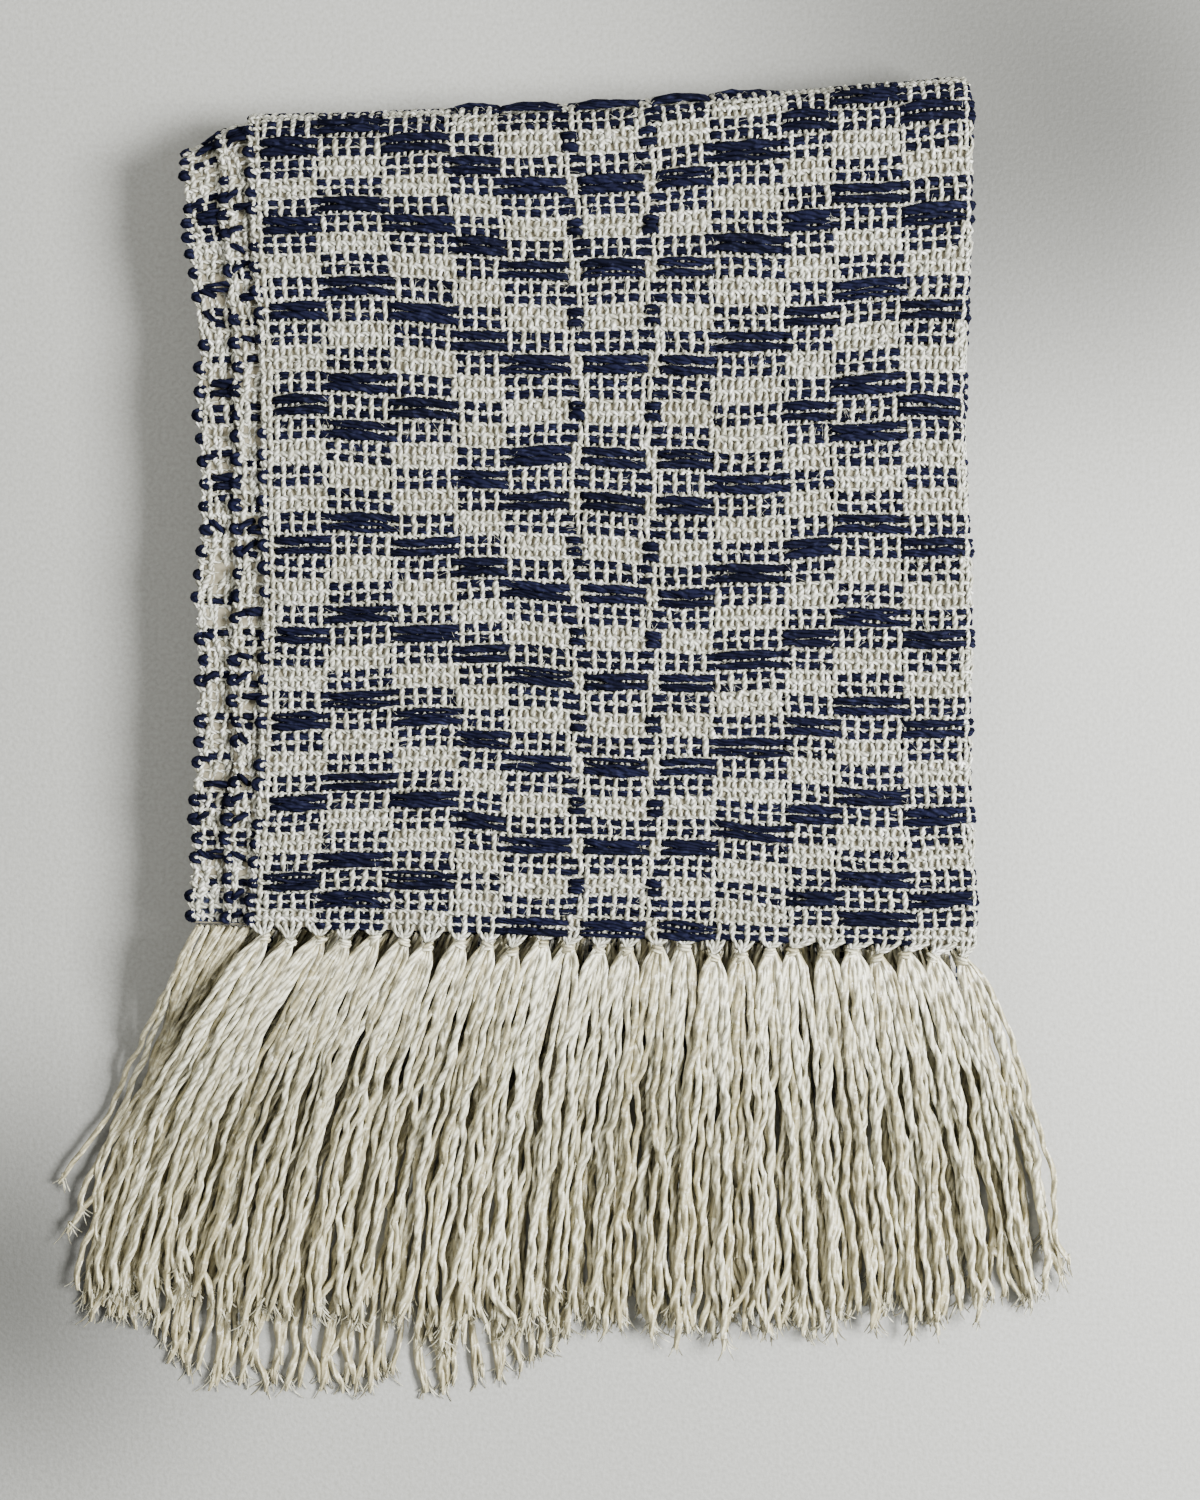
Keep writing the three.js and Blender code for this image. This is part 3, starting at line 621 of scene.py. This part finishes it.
# painted shade: cream in shade where only the ground shows, and navy in shade under the pattern
shades = np.zeros(len(base.data.polygons), dtype=np.int32)
rowStarts = alongRow(np.arange(1, len(treadling)))
rowsOf = np.clip(np.searchsorted(rowStarts, faceAlongs[:-1] + 0.1, "right"), 0, len(treadling) - 1)
shades[:len(columnBlocks) * len(rowsOf)] = [
    stateOf(0, block, treadling[k]) == "hidden" for block in columnBlocks for k in rowsOf]
base.data.polygons.foreach_set("material_index", shades)

# Selvedges that show at the left: plain edge ends, loops of navy where the weft turns, and
# slanting ends between

stripPieces = {
    "first": {"edge": -130.0, "depth": layer, "blocks": "--BBBBB", "shift": 17, "seed": 71},
    "second": {"edge": -143.0, "depth": 2 * layer, "blocks": "--AAAAAA", "shift": 30, "seed": 173},
}


# mm between the ends, and the shares of rows with pattern picks, edge loops and loose ends
selvedgeYarns = {"pitch": 2.3, "picks": 0.55, "loops": 0.85, "faceLoops": 0.7, "looseEnds": 0.4}


# A weft that comes out at a selvedge and turns back in.
def edgeLoop(yarn, place, edge, start, end, inset, size):
    x = edge + np.array([inset, 1.3, 0.4, -0.3, -0.6, -0.3, 0.4, 1.3, inset])
    t = np.array([0, 0.04, 0.14, 0.3, 0.5, 0.7, 0.86, 0.96, 1])
    height = np.array([-1.9, -0.6, -0.25, -0.5, -0.8, -0.5, -0.25, -0.6, -1.9])
    points, out = place(x, start + (end - start) * t, height)
    scale = np.array([0.7, 1, 1.1, 1.2, 1.2, 1.2, 1.1, 1, 0.7]) * size
    yarn.add(points, out, scale, scale * 0.85)


def weaveStrip(strip, warps, grounds, patterns):
    edge, depth, blocks = strip["edge"], strip["depth"], strip["blocks"]

    def place(x, along, height):
        x, along, height = together(x, along, height)
        fade = 1 - np.clip((bendEnd - along) / bend, 0, 1) ** 2
        wander = 1.1 * drift(along, 70, strip["seed"]) * ease((x - edge + 4) / 4) \
            + 0.5 * np.sin(along / 9 + x / 3)
        return onPile(x + wander * (1 - fade), along, depth - height + 0.2 * fade)

    xs = edge + 1 + selvedgeYarns["pitch"] * np.arange(len(blocks))
    for end in range(len(blocks)):
        warpEnd(warps, end, blocks, xs[end], strip["shift"], place, loose=0.9, seed=strip["seed"])
    for k in range(len(treadling)):
        for pick in range(2):
            groundPick(grounds, k, pick, blocks, xs, strip["shift"], place, edge - 0.3, strip["seed"])
            if rng.random() < selvedgeYarns["picks"] and k > 0:
                patternPick((patterns, patterns), k, pick, blocks, xs, strip["shift"], place, strip["seed"])
        start = float(alongRow(k))
        chance = rng.random(3)
        if chance[0] < selvedgeYarns["loops"]:
            edgeLoop(patterns, place, edge + rng.uniform(-0.5, 0.7), start + 1.4, start + rng.uniform(3.6, 5),
                     rng.uniform(1.9, 2.8), rng.uniform(1.05, 1.35))
        if chance[1] < selvedgeYarns["looseEnds"]:
            x = edge + rng.uniform(0, 2) + np.linspace(0.6, 5.6, 6)
            slope = rng.uniform(-1, 1) * 5
            points, out = place(x, start + 4 + slope * np.linspace(-0.5, 0.5, 6),
                                np.array([-1.2, 0.0, 0.4, 0.4, 0.0, -1.5]))
            patterns.add(points, out, 1.15, 0.9)


stripWarps, stripGrounds, stripPatterns = Yarn(), Yarn(), Yarn()
for strip in stripPieces.values():
    weaveStrip(strip, stripWarps, stripGrounds, stripPatterns)
for k in range(len(treadling)):
    if rng.random() < selvedgeYarns["faceLoops"]:
        start = float(alongRow(k))
        edgeLoop(stripPatterns, onFace, faceLeft + rng.uniform(-0.4, 0.6), start + 1.4,
                 start + rng.uniform(3.6, 5), 3.0, rng.uniform(0.85, 1.2))
sideCream = stripWarps.mesh("left_selvedge_ends", cream, "ground_weave")
sideGround = stripGrounds.mesh("left_selvedge_picks", cream, "ground_weave")
sideNavy = stripPatterns.mesh("left_selvedge_loops", navy, "pattern_weft")


def stripPlace(depthOf):
    return lambda x, along, height: onPile(x, along, depthOf - np.minimum(height, 0))


stripAlongs = np.concatenate([np.linspace(0.2, flat, 40), np.linspace(flat + 3, bendEnd - 0.3, 24)])
# the cloth under the selvedges' yarns is cream in painted shade
stripShells = [
    shell("left_selvedge_cloth_" + name, np.linspace(strip["edge"] + 0.7, strip["edge"] + 17, 8), stripAlongs,
          stripPlace(strip["depth"]), 1.3, 0.7, paleShadow)
    for name, strip in stripPieces.items()]
print("selvedges woven")

# The lower layers: a rounded lip of cloth for each edge, with its own loops, and the sheet
# that the pile lies on, which wraps round the shoulder fold at the front

lowerLength = bendY - pileSizes["shoulder"]
noseAlong = bendEnd + lowerLength  # where the shoulder fold begins
lipPath = np.concatenate([np.linspace(0, flat, 22), np.linspace(flat, bendEnd, 16)[1:],
                          np.linspace(bendEnd, noseAlong, 20)[1:]])
noseAngles = np.radians([20, 40, 58, 74])


# onPile, run on round the shoulder fold in front of the lower half.
def onLower(x, along, depth):
    x, along, depth = together(x, along, depth)
    past = np.maximum(along - bendEnd - lowerLength, 0)
    angle = np.minimum(past / nose, math.pi / 2)
    return onPile(x, np.minimum(along, noseAlong) + nose * np.sin(angle),
                  np.where(past > 0, nose + (depth - nose) * np.cos(angle), depth))


# Closed sections swept one after another: a list of (count, ring, 3) arrays with UVs.
def sweptLip(name, sections, material):
    points, faces, uvs, size = [], [], [], 0
    for grid, uv in sections:
        count, ring = grid.shape[:2]
        i, j = np.meshgrid(np.arange(count - 1), np.arange(ring), indexing="ij")
        a, b = i * ring + j, i * ring + (j + 1) % ring
        quads = np.stack([a, b, b + ring, a + ring], -1).reshape(-1, 4)
        faces.append(quads + size)
        uvs.append(uv.reshape(-1, 2)[quads.ravel()])
        points.append(grid.reshape(-1, 3))
        size += count * ring
    return meshObject(name, np.concatenate(points), np.concatenate(faces), np.concatenate(uvs),
                      material)


# what each edge of a lower layer shows: shares of rows with a navy loop or pick, radii in mm
edgeYarns = {"loops": 0.65, "picks": 0.6, "end": (0.75, 0.6), "loop": (0.85, 0.6),
             "foldEnd": (0.72, 0.5), "foldPick": (0.6, 1.3)}
lips = []
lipCream, lipNavy = Yarn(), Yarn()


# outline: x and depth of the lip's section. path: distances along the pile.
def addLip(outline, path):
    x, depth = np.array(outline).T
    grid, _ = onLower(x[None, :], path[:, None], depth[None, :])
    uv = np.stack(np.broadcast_arrays(x[None, :], path[:, None]), -1)
    lips.append((grid, uv))


def uneven(index, seed):
    return np.random.default_rng(1000 * seed + index).random()


lowerPath = np.concatenate([lipPath[lipPath >= bendEnd - 1], noseAlong + nose * noseAngles])
fullPath = np.concatenate([lipPath, noseAlong + nose * noseAngles])
for number, edge in enumerate(leftEdges):
    path = fullPath if number >= 3 else lowerPath
    top, low = number * layer + 0.12, number * layer + wall
    addLip([(edge + 14, top), (edge + 1.2, top), (edge + 0.2, top + 0.35), (edge - 0.1, (top + low) / 2),
            (edge + 0.2, low - 0.35), (edge + 1.2, low), (edge + 14, low)], path)
    fine = np.arange(path[0], noseAlong, 3.2)
    middle = (top + low) / 2
    wobble = 0.25 * drift(fine, 30, 60 + number)
    points, _ = onLower(edge + 0.1 + wobble, fine, middle)
    side = np.tile([[-1.0, 0.0, 0.0]], (len(fine), 1))
    lipCream.add(points, side, *edgeYarns["end"], 4)
    for k in range(int(path[0] / row), int(noseAlong / row)):
        if uneven(k, 20 + number) < edgeYarns["loops"]:
            t = np.linspace(0, 1, 6)
            swing = np.sin(t * math.pi)
            points, _ = onLower(edge + 0.9 - 1.4 * swing, k * row + 1 + 3.6 * t,
                                middle + 0.25 * (uneven(k, 50) - 0.5))
            lipNavy.add(points, np.tile([[-1.0, 0.0, 0.0]], (6, 1)), *edgeYarns["loop"], 4)
for number, edge in enumerate(rightFolds):
    path = fullPath if number >= 1 else lowerPath
    middle = (2 * number + 1) * layer - gap / 2
    reach = layer - 0.2
    arc = np.radians(np.linspace(-90, 90, 9))
    rim = [(edge - reach + reach * math.cos(a), middle + reach * math.sin(a)) for a in arc]
    addLip([(edge - 14, middle - reach)] + rim + [(edge - 14, middle + reach)], path)
    fine = np.arange(path[0], noseAlong, 3.2)
    for angle in (-58, -20, 20, 58):
        a = math.radians(angle)
        x = edge - reach + (reach + 0.1) * math.cos(a)
        points, _ = onLower(x + 0.2 * drift(fine, 26, 80 + number + angle), fine,
                            middle + reach * math.sin(a))
        lipCream.add(points, np.tile([[1.0, 0.0, 0.0]], (len(fine), 1)), *edgeYarns["foldEnd"], 4)
    for k in range(int(path[0] / row), int(noseAlong / row)):
        for pick in patternAt:
            if uneven(k, 30 + number) < edgeYarns["picks"]:
                t = np.radians(np.linspace(-80, 80, 6))
                points, _ = onLower(edge - reach + (reach + 0.8) * np.cos(t), (k + pick) * row,
                                    middle + reach * np.sin(t))
                lipNavy.add(points, np.tile([[0.0, 1.0, 0.0]], (6, 1)), *edgeYarns["foldPick"], 4)

# hems of the upper layers, one behind the other under the fringe
for number in range(1, len(leftEdges)):
    xs = np.linspace(leftEdges[number] + 1, rightFolds[number // 2] - 2.5, 28)
    under = 1.2 if number < 3 else 0.1  # the first two lie beneath the strips' yarns
    top, low = number * layer + under, number * layer + wall
    along, depth = np.array([(12, top), (0.9, top), (0.2, top + 0.4), (0, (top + low) / 2), (0.2, low - 0.4),
                             (0.9, low), (12, low)]).T
    grid, _ = onLower(xs[:, None], along[None, :], depth[None, :])
    lips.append((grid, np.stack(np.broadcast_arrays(xs[:, None], along[None, :]), -1)))
lowerLips = sweptLip("lower_layer_edges", lips, weave)
edgeEnds = lipCream.mesh("lower_edge_ends", cream, "ground_weave")
edgeLoops = lipNavy.mesh("lower_edge_loops", navy, "pattern_weft")

# the outermost layer of the lower half, round the shoulder fold and back on top of it
wrapAngles = np.radians(np.linspace(0, 180, 15))
wrapXs = np.linspace(faceLeft + 1.5, rightFolds[0] - 3, 40)


def wrapPlace(x, along, height):
    x, along, height = together(x, along, height)
    past = np.maximum(along - bendEnd - lowerLength, 0)
    angle = np.minimum(past / nose, math.pi)
    after = np.maximum(past / nose - math.pi, 0) * nose
    depth = nose - (nose + height) * np.cos(angle)
    reach = (nose + height) * np.sin(angle) - after
    return onPile(x, np.minimum(along, noseAlong) + reach, depth)


wrapAlongs = np.concatenate([np.linspace(bendEnd + 0.3, noseAlong, 30),
                             noseAlong + nose * wrapAngles[1:],
                             [noseAlong + nose * math.pi + 8]])
underside = shell("lower_layer_wrap", wrapXs, wrapAlongs, wrapPlace, 0.15, 1.9, weave)
print("lower layers made")

# Fringe

# where the strands end: the share across the fringe, x and y
upperTips = [(0, -184, -290), (0.2, -112, -300), (0.5, -6, -308), (0.8, 102, -305), (1, 176, -286)]
lowerTips = [(0, -190, -284), (0.15, -142, -326), (0.4, -50, -327), (0.6, 26, -292), (1, 172, -276)]
# strands in a tassel, or in the whole fringe below; points and sides of each; mm over which they
# come down to the table, and the height of their tips; how soon they fan out
upperSet = {"strands": 7, "samples": 60, "sides": 6, "drape": 104, "tipZ": 7.0, "fan": 1.6,
            "half": 3, "spread": 0.46, "lift": 1.9, "shorter": 0, "seed": 7000}
middleSet = {"strands": 4, "samples": 50, "sides": 5, "drape": 88, "tipZ": 3.4, "fan": 1.6,
             "half": 2, "spread": 0.5, "lift": 0.9, "shorter": 4, "seed": 7005}
lowerSet = {"strands": 128, "samples": 50, "sides": 5, "drape": 78, "tipZ": 1.9, "fan": 1.6}
# ends of the selvedges at the left, a few of which stray out over the table
selvedgeSet = {**middleSet, "strands": 28, "drape": 70, "wisps": (6, 13, 20)}


def tipAt(table, across):
    shares, xs, ys = np.array(table).T
    return np.interp(across, shares, xs), np.interp(across, shares, ys)


# A two-ply strand from its root, down over the hem and forward on the table. offset gives its
# place in the tassel from the knot to the tip.
def strand(yarn, ends, root, tip, setup, offset, size, seed):
    samples, drape = setup["samples"], setup["drape"]
    dice = np.random.default_rng(seed)
    t = np.linspace(0, 1, samples)
    length = abs(root[1] - tip[1])
    y = root[1] + (tip[1] - root[1]) * t
    down = 0.5 - 0.5 * np.cos(math.pi * np.clip((root[1] - y) / drape, 0, 1))
    lateral = np.interp(t, [0, 0.045, 0.2, 0.6, 1], offset)
    sway = 1.5 * drift(t * length, dice.uniform(45, 90), seed + 1) * ease(t * 3) \
        + 0.3 * drift(t * length, dice.uniform(14, 26), seed + 2) * ease(t * 8)
    curl = dice.normal(0, 2.6) * ease((t - 0.86) / 0.14) ** 2
    x = root[0] + (tip[0] - root[0]) * (1 - (1 - t) ** setup["fan"]) + lateral + sway + curl
    z = root[2] + (tip[2] - root[2]) * down + 0.6 * drift(t * length, 34, seed + 3) * ease(t * 5)
    radius = size * (1 + 0.1 * drift(t * length, 23, seed + 4)) * np.clip(0.7 + t * 5, 0, 1)
    radius[-2:] *= [0.85, 0.45]
    z = np.maximum(z, radius * 1.1 + 0.1)
    points = np.stack([x, y, z], -1)
    up = np.tile([[0.0, 0.0, 1.0]], (samples, 1))
    yarn.add(points, up, radius * 1.06, radius * 0.9, setup["sides"])
    # loose fibres where the yarn frays and untwists
    for _ in range(5):
        reach = dice.uniform(4, 10)
        spread, hook = dice.normal(0, 2.2), dice.normal(0, 1.6)
        s = np.linspace(0, 1, 4)
        fibre = np.stack([x[-2] + dice.normal(0, 0.5) + spread * s + hook * s ** 2,
                          y[-2] + 2 - reach * s * (1.2 - 0.3 * s),
                          np.maximum(z[-2] + dice.normal(0, 0.4) - 1.2 * s, 0.35)], -1)
        ends.add(fibre, up[:4], 0.42 * (1 - 0.5 * s), 0.36 * (1 - 0.5 * s), 3)


fringeYarns = {"upper": Yarn(), "middle": Yarn(), "lower": Yarn()}
frays = Yarn()
dice = np.random.default_rng(5)
for tassel in range(tassels):
    knot, longer = knotPoint(tassel), dice.normal(0, 4)
    for name, setup in (("upper", upperSet), ("middle", middleSet)):
        order = dice.permutation(setup["strands"])
        for k in range(setup["strands"]):
            share = (k - (setup["strands"] - 1) / 2) / setup["half"]
            across = (tassel + 0.5 + setup["spread"] * share) / tassels
            tipX, tipY = tipAt(upperTips, across)
            tipY += longer + abs(dice.normal(0, 7)) + setup["shorter"]
            near, far = share * 3.3 + dice.normal(0, 0.4), dice.normal(0, 2.4)
            root = knot.copy()
            size = dice.uniform(1.0, 1.35)
            layerZ = setup["tipZ"] + (order[k] % 3 - 1) * setup["lift"]
            if name == "middle":
                root = root + [dice.normal(0, 3), 0.8, -5 - 2.5 * (k % 2)]
            else:
                root = root + [share * 0.8, 0, 0.3 * (order[k] % 3)]
            strand(fringeYarns[name], frays, root, (tipX, tipY, layerZ), setup,
                   [0, near * 0.8, near, near * 0.7 + far * 0.5, far], size,
                   setup["seed"] + 100 * tassel + 10 * k)
for k in range(selvedgeSet["strands"]):
    root = onPile(-141 + 21 * dice.random(), -0.6, layer * (1 + k % 2) + 1.2)[0]
    wisp = k in selvedgeSet["wisps"]
    share = dice.random()
    tip = (-196 + dice.normal(0, 3), -254 + dice.normal(0, 6)) if wisp else \
        (-191 + 17 * share, -284 - 12 * share + dice.normal(0, 5))
    strand(fringeYarns["middle"], frays, root, (*tip, 2 + 3 * dice.random()),
           {**selvedgeSet, "fan": 1.0 if wisp else 1.6},
           [0, 0, 0, dice.normal(0, 2), dice.normal(0, 2)], dice.uniform(0.9, 1.2), 40000 + 10 * k)
for k in range(lowerSet["strands"]):
    across = ((k + 0.5) / lowerSet["strands"]) ** 1.2
    root = onPile(-128 + 263 * across, -1.8, 0)[0]
    root[2] = 22.8 - 4 * dice.random()
    tipX, tipY = tipAt(lowerTips, across)
    far = dice.normal(0, 2.5)
    strand(fringeYarns["lower"], frays, root, (tipX, tipY + abs(dice.normal(0, 5)), lowerSet["tipZ"]),
           lowerSet, [0, 0, far * 0.5, far, far], dice.uniform(1.0, 1.35), 20000 + 10 * k)
# the middle and lower strands take the darker copy of the fringe yarn, which is painted shade
fringePieces = {
    name: yarn.mesh("fringe_" + name, fringeYarn if name == "upper" else shadedFringeYarn, "fringe_yarn")
    for name, yarn in fringeYarns.items()}
frayed = frays.mesh("fringe_frayed_ends", fringeYarn, "fringe_yarn")

# knots: a slanting turn or two of yarn about each group of ends
knots = Yarn()
for tassel in range(tassels):
    centre = knotPoint(tassel)
    dice = np.random.default_rng(800 + tassel)
    for turn in range(knotSizes["turns"]):
        tilt, reach = dice.normal(0, 0.7), dice.uniform(*knotSizes["radius"])
        a = np.linspace(-0.3, 2 * math.pi + 0.3, 13)
        ring = np.stack([centre[0] + reach * np.cos(a), centre[1] - 0.7 - 1.1 * turn + tilt * np.cos(a),
                         centre[2] - 0.2 + 1.6 * np.sin(a)], -1)
        outward = np.stack([np.cos(a), np.zeros_like(a), np.sin(a)], -1)
        knots.add(ring, outward, knotSizes["wide"], knotSizes["high"])
knotPieces = knots.mesh("fringe_knots", fringeYarn, "fringe_yarn")
print("fringe made")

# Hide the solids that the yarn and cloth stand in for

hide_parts("top_width_face")
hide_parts("top_width_selvedge")
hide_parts("second_width_selvedge")
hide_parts("hidden_layers")
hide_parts("upper_fringe")
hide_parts("lower_fringe")

# Table, light and the room

# a board painted matt: pale grey, with soft shade on it. The grain of its paint is finer than a
# pixel, so it is drawn 1.5 mm wide.
tableLook = {"light": "#abaca8", "deep": "#85857f", "shade": "#2c2c28", "grain": 1.5385, "relief": 0.5,
             "patches": [  # of shade: centre, reach in metres, strength
                 ((0.136, 0.21, 0), 0.2, 0.5), ((0.2, 0.15, 0), 0.18, 0.7), ((-0.22, -0.285, 0), 0.13, 0.75)]}


def tableTop(look):
    material, tree, shader = startMaterial(
        "matt_painted_board", {"Roughness": 0.6, "Specular IOR Level": 0.3})
    place = addNode(tree, "TexCoord", {}).outputs["Object"]
    grain = addNode(tree, "TexNoise", {"Scale": 1000 / look["grain"], "Detail": 4.0, "Vector": place})
    colour = addNode(tree, "Mix", {"data_type": "RGBA", 0: grain, 6: look["deep"], 7: look["light"]})
    for centre, reach, strength in look["patches"]:
        away = addNode(tree, "VectorMath", {"operation": "DISTANCE", 0: place, 1: centre})
        shade = addNode(tree, "MapRange", {"interpolation_type": "SMOOTHSTEP", 0: away.outputs["Value"],
                                           1: 0.0, 2: reach, 3: strength, 4: 0.0})
        colour = addNode(tree, "Mix", {"data_type": "RGBA", 0: shade, 6: colour.outputs[2], 7: look["shade"]})
    coat(tree, shader, colour.outputs[2], grain, 0.45, look["relief"])
    return material


floorMesh = bpy.data.meshes.new("table")
floorMesh.from_pydata([(-3, -3, 0), (3, -3, 0), (3, 3, 0), (-3, 3, 0)], [], [(0, 1, 2, 3)])
floorMesh.materials.append(tableTop(tableLook))
table = bpy.data.objects.new("table", floorMesh)
bpy.context.scene.collection.objects.link(table)


# a window at the right and weak light from behind, in metres and watts
lights = {"window": {"place": (0.95, -0.15, 0.95), "size": 0.5, "power": 79, "colour": "#ffffff"},
          "fill": {"place": (-0.7, 0.9, 1.3), "size": 1.0, "power": 18, "colour": "#fffdf8"}}
room = {"aim": (0, -0.05, 0), "colour": "#f4f4f2", "strength": 0.47}

for name, light in lights.items():
    lamp = bpy.data.lights.new(name, "AREA")
    lamp.size, lamp.energy, lamp.color = light["size"], light["power"], linear(light["colour"])[:3]
    holder = bpy.data.objects.new(name, lamp)
    holder.location = light["place"]
    away = np.array(room["aim"]) - np.array(light["place"])
    pitch = math.atan2(math.hypot(away[0], away[1]), -away[2])
    holder.rotation_euler = (pitch, 0, math.atan2(-away[0], away[1]))
    bpy.context.scene.collection.objects.link(holder)
world = bpy.data.worlds.new("room")
world.use_nodes = True
background = world.node_tree.nodes["Background"]
background.inputs[0].default_value = linear(room["colour"])
background.inputs[1].default_value = room["strength"]
bpy.context.scene.world = world
print("table and light made")

bpy.context.view_layer.update()
